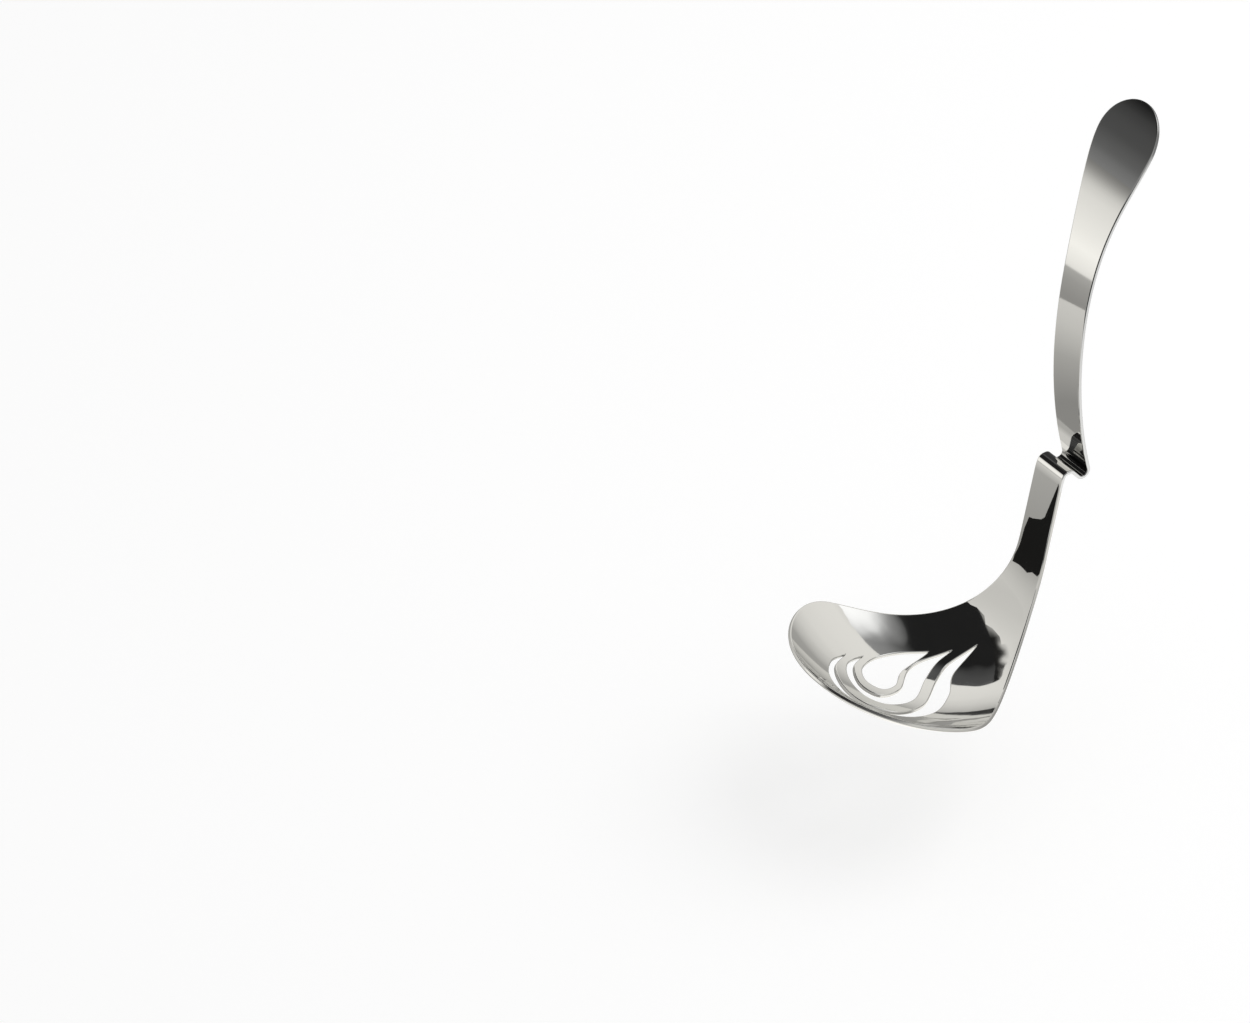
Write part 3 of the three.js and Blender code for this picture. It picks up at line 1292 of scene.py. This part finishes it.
    def eye(self) -> Vector:
        """Find where the camera stands, so that the seat's middle falls on its pixel.

        Returns:
            The camera's place.
        """
        right, up, back = self.view_axes()
        scale = self.pixels_per_mm / MM
        across = (self.origin_pixel[0] - self.picture_width / 2) / scale
        down = (self.origin_pixel[1] - self.picture_height / 2) / scale
        distance = self.lens / self.sensor * self.picture_width / scale
        return -across * right + down * up + distance * back

    def camera(self) -> None:
        """Place the scene's camera."""
        data = bpy.data.cameras.new("camera")
        data.lens, data.sensor_width = self.lens, self.sensor
        data.clip_start, data.clip_end = self.clip_start, self.clip_end
        obj = bpy.data.objects.new("camera", data)
        bpy.context.scene.collection.objects.link(obj)
        turn = Matrix(self.view_axes()).transposed().to_4x4()
        obj.matrix_world = Matrix.Translation(self.eye()) @ turn
        bpy.context.scene.camera = obj

    def show(self, obj: bpy.types.Object, seen: Seen) -> None:
        """Choose which rays see a surface of the stage.

        Args:
            obj: the surface.
            seen: which rays it shows to.
        """
        if seen is Seen.IN_METAL:
            obj.visible_camera = obj.visible_diffuse = obj.visible_shadow = False
            obj.visible_transmission = obj.visible_volume_scatter = False

    def hang(self, card: bpy.types.Object, shade: CardShade) -> None:
        """Give a card its painted glow, and show it to the metal only."""
        card.data.materials.append(shade.material())
        self.show(card, Seen.IN_METAL)

    def floor_white(self) -> bpy.types.Material:
        """Make a matt floor that reads white where nothing shades it, and is clear from below.

        Returns:
            The floor's material.
        """
        made = bpy.data.materials.new("matt_white_floor")
        tree = clear_tree(made)
        path = add_node(tree, "ShaderNodeLightPath")
        clear_sight = add_node(tree, "ShaderNodeMath", {
            0: path.outputs["Is Camera Ray"], 1: path.outputs["Is Glossy Ray"]}, operation="MAXIMUM")
        any_sight = add_node(tree, "ShaderNodeMath", {
            0: clear_sight, 1: path.outputs["Is Transmission Ray"]}, operation="MAXIMUM")
        strength = add_node(tree, "ShaderNodeMath", {
            0: any_sight, 1: self.floor_glow}, operation="MULTIPLY")
        albedo = self.floor_albedo
        matt = add_node(tree, "ShaderNodeBsdfDiffuse", {"Color": (albedo, albedo, albedo, 1.0)})
        light = add_node(tree, "ShaderNodeEmission", {"Strength": strength})
        near = add_node(tree, "ShaderNodeAddShader", {0: matt, 1: light})
        # the far floor on the camera's side is unlit, which the metal's right-hand rims show as a dark line
        place = add_node(tree, "ShaderNodeTexCoord")
        out = add_node(tree, "ShaderNodeVectorMath", {
            0: place.outputs["Object"], 1: self.towards(self.view_azimuth + self.unlit_turn, 0.0)},
            operation="DOT_PRODUCT")
        far = add_node(tree, "ShaderNodeMapRange", {
            "Value": out.outputs["Value"], "From Min": self.unlit_near, "From Max": self.unlit_far})
        # and it dims behind, so that the handle's back is not one even white
        behind = add_node(tree, "ShaderNodeVectorMath", {
            0: place.outputs["Object"], 1: (0.0, 1.0, 0.0)}, operation="DOT_PRODUCT")
        dim = add_node(tree, "ShaderNodeMapRange", {
            "Value": behind.outputs["Value"], "From Min": self.dim_near, "From Max": self.dim_far,
            "To Max": self.dim_most})
        most = add_node(tree, "ShaderNodeMath", {0: far, 1: dim}, operation="MAXIMUM")
        hidden = add_node(tree, "ShaderNodeMath", {
            0: most, 1: path.outputs["Is Glossy Ray"]}, operation="MULTIPLY")
        unlit = add_node(tree, "ShaderNodeEmission", {"Strength": self.unlit_glow})
        lit = add_node(tree, "ShaderNodeMixShader", {0: hidden, 1: near, 2: unlit})
        side = add_node(tree, "ShaderNodeNewGeometry")
        clear = add_node(tree, "ShaderNodeBsdfTransparent")
        both = add_node(tree, "ShaderNodeMixShader", {0: side.outputs["Backfacing"], 1: lit, 2: clear})
        add_node(tree, "ShaderNodeOutputMaterial", {"Surface": both})
        return made

    def floor(self) -> None:
        """Lay the floor well below the scoop."""
        obj = add_primitive(
            bpy.ops.mesh.primitive_circle_add, "floor", vertices=self.floor_sides, radius=self.floor_radius,
            fill_type="NGON")
        obj.data.transform(Matrix.Translation((0, 0, -self.floor_drop)))
        obj.data.materials.append(self.floor_white())
        self.show(obj, Seen.EVERYWHERE)

    def tall_card(self) -> None:
        """Stand a glowing card of painted light and shade upright on the left, which the handle shows as its
        bright middle.
        """
        away = self.towards(self.tall_azimuth, 0.0)
        side = Vector((-away.y, away.x, 0))
        obj = add_primitive(bpy.ops.mesh.primitive_plane_add, "tall_card", size=1)
        for vertex in obj.data.vertices:
            across = self.tall_right if vertex.co.x > 0 else self.tall_left
            vertex.co = (across, 0, self.TALL_SHADE.high if vertex.co.y > 0 else self.TALL_SHADE.low)
        turn = Matrix((side, away, (0, 0, 1))).transposed().to_4x4()
        obj.matrix_world = Matrix.Translation(self.TALL_MIDDLE + self.tall_distance * away) @ turn
        self.hang(obj, self.TALL_SHADE)

    def round_card(self) -> None:
        """Bend a low glowing card of painted light and shade all round the scoop and give it a foot, which
        the scoop and stem show.
        """
        wide, deep = self.ROUND_SIZE
        angles, tops = zip(*self.ROUND_TOP)
        low = self.ROUND_SHADE.low
        wall = add_primitive(
            bpy.ops.mesh.primitive_cylinder_add, "round_card", vertices=self.round_sides, radius=1, depth=2,
            end_fill_type="NOTHING")
        for vertex in wall.data.vertices:
            x, y, z = vertex.co
            top = float(np.interp(math.degrees(math.atan2(x, y)), angles, tops))
            vertex.co = (wide * x, deep * y, top if z > 0 else low)
        foot = add_primitive(
            bpy.ops.mesh.primitive_circle_add, "round_card_foot", vertices=self.round_sides,
            radius=self.foot_overlap, fill_type="NGON")
        for vertex in foot.data.vertices:
            vertex.co = (wide * vertex.co.x, deep * vertex.co.y, low)
        for card, shade in ((wall, self.ROUND_SHADE), (foot, self.FOOT_SHADE)):
            card.location = (*self.ROUND_MIDDLE, 0)
            self.hang(card, shade)

    def small_card(self, name: str, corners_mm: np.ndarray, shade: CardShade) -> None:
        """Hang a small glowing card, which the metal shows as a patch of painted reflection.

        Args:
            name: the card's name.
            corners_mm: its corners in order, as rows.
            shade: its grey.
        """
        obj = add_primitive(
            bpy.ops.mesh.primitive_circle_add, name, vertices=len(corners_mm), radius=1, fill_type="TRIFAN")
        places = Blank.places(obj)
        middle = np.linalg.norm(places, axis=1) < Blank.CLOSE
        places[middle] = corners_mm.mean(axis=0) * MM
        places[~middle] = corners_mm * MM
        Blank.move(obj, places)
        self.hang(obj, shade)

    def small_cards(self) -> None:
        """Hang the small glowing cards that paint reflections: black before the stem, pale below the handle,
        and grey before the neck.
        """
        eye_mm = np.array(self.eye()) / MM
        flag = self.form.mirrored(self.FLAG_PATCH_MM, eye_mm, self.FLAG_REACH_MM)
        low = np.array([(x, y, self.LOW_HEIGHT_MM) for x, y in self.LOW_CORNERS_MM])
        neck = self.form.mirrored(self.NECK_PATCH_MM, eye_mm, self.NECK_REACH_MM)
        self.small_card("flag", flag, self.FLAG_SHADE)
        self.small_card("low_card", low, self.LOW_SHADE)
        self.small_card("neck_card", neck, self.NECK_SHADE)

    def softbox(self) -> None:
        """Hang one large softbox over the far side, for the floor; the metal shows it from the world."""
        data = bpy.data.lights.new("softbox", "AREA")
        data.shape, data.size = "SQUARE", self.key_size
        data.energy = self.key_level * math.pi * self.key_size**2
        obj = bpy.data.objects.new("softbox", data)
        bpy.context.scene.collection.objects.link(obj)
        away = self.towards(self.key_azimuth, self.key_elevation)
        obj.location = away * self.key_distance
        obj.rotation_mode = "QUATERNION"
        obj.rotation_quaternion = away.to_track_quat("Z", "Y")
        obj.visible_glossy = False

    def world(self) -> None:
        """Show white to the camera, an even fill to the floor, and a dim studio to the metal."""
        made = bpy.data.worlds.new("studio")
        bpy.context.scene.world = made
        tree = clear_tree(made)
        path = add_node(tree, "ShaderNodeLightPath")
        place = add_node(tree, "ShaderNodeTexCoord")
        # the studio's dark parts have no straight edges
        noise = add_node(tree, "ShaderNodeTexNoise", {
            "Vector": place.outputs["Generated"], "Scale": self.sky_scale, "Detail": 1.0})
        stray = add_node(tree, "ShaderNodeVectorMath", {
            0: noise.outputs["Color"], 1: (-NOISE_MIDDLE,) * 3}, operation="ADD")
        bent = add_node(tree, "ShaderNodeVectorMath", {
            0: stray, 1: (self.sky_stray,) * 3, 2: place.outputs["Generated"]}, operation="MULTIPLY_ADD")
        unit = add_node(tree, "ShaderNodeVectorMath", {0: bent}, operation="NORMALIZE")
        shown = WHITE
        for patch in self.SKY:
            near = add_node(tree, "ShaderNodeVectorMath", {
                0: unit, 1: self.towards(patch.azimuth, patch.elevation)}, operation="DOT_PRODUCT")
            angle = add_node(tree, "ShaderNodeMath", {0: near.outputs["Value"]}, operation="ARCCOSINE")
            share = add_node(tree, "ShaderNodeMath", {0: angle, 1: math.pi}, operation="DIVIDE")
            ramp = add_node(tree, "ShaderNodeValToRGB", {"Fac": share}, stops=patch.shares())
            shown = add_node(tree, "ShaderNodeMix", {
                "Factor": 1.0, "A": shown, "B": ramp}, data_type="RGBA",
                blend_type=patch.blend.value).outputs[2]
        studio = add_node(tree, "ShaderNodeBackground", {"Color": shown, "Strength": 1.0})
        fill = add_node(tree, "ShaderNodeBackground", {"Color": WHITE, "Strength": self.fill_level})
        white = add_node(tree, "ShaderNodeBackground", {"Color": WHITE, "Strength": 1.0})
        unseen = add_node(tree, "ShaderNodeMixShader", {
            0: path.outputs["Is Glossy Ray"], 1: fill, 2: studio})
        seen = add_node(tree, "ShaderNodeMixShader", {
            0: path.outputs["Is Camera Ray"], 1: unseen, 2: white})
        add_node(tree, "ShaderNodeOutputWorld", {"Surface": seen})

    def build(self) -> None:
        """Set up the whole stage."""
        self.camera()
        self.floor()
        self.tall_card()
        self.round_card()
        self.small_cards()
        self.softbox()
        self.world()
        bpy.context.scene.view_settings.view_transform = "Standard"


def main() -> None:
    """Build the ladle's pieces in order, then the stage, and note the sizes."""
    logging.basicConfig(level=logging.INFO, format="%(name)s: %(message)s")
    form = SheetForm()
    blank = Blank(form)
    for piece in (Handle, NeckWeld, SlottedScoop):
        obj = piece(form=form, blank=blank).build()
        LOG.info("%s: %d faces", obj.name, len(obj.data.polygons))
    Stage(form).build()


if __name__ == "__main__":
    main()
